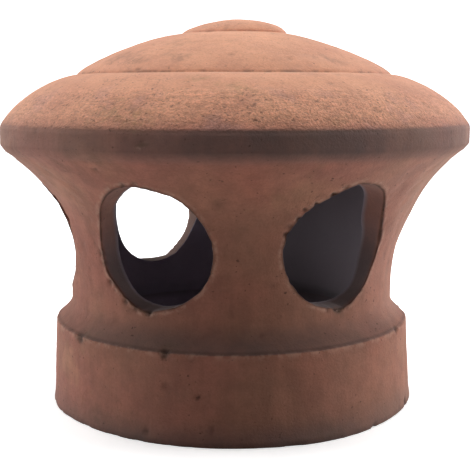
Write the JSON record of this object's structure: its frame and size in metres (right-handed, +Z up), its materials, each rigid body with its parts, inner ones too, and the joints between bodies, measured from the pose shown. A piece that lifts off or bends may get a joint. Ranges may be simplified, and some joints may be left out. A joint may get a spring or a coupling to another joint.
{
  "type": "terracotta roof vent lantern",
  "caption": "Hollow round clay vent hood: upright collar, waisted drum pierced by round holes, wide flared rim and low stepped cap; open below, it stands on its foot over a vent mouth.",
  "frame": {"origin": "on the upright axis, in the plane that the foot stands on", "axes": "+Z up along the axis the body is turned about; -Y towards the side shown in the picture, between its two front holes"},
  "size_m": [0.24, 0.24, 0.196],
  "materials": {
    "terracotta": "unglazed fired clay, fine sandy grain, faint turning marks, dusty grime in the cove and inside"
  },
  "bodies": {
    "root": {"lantern_body": "terracotta"}
  },
  "joints": []
}
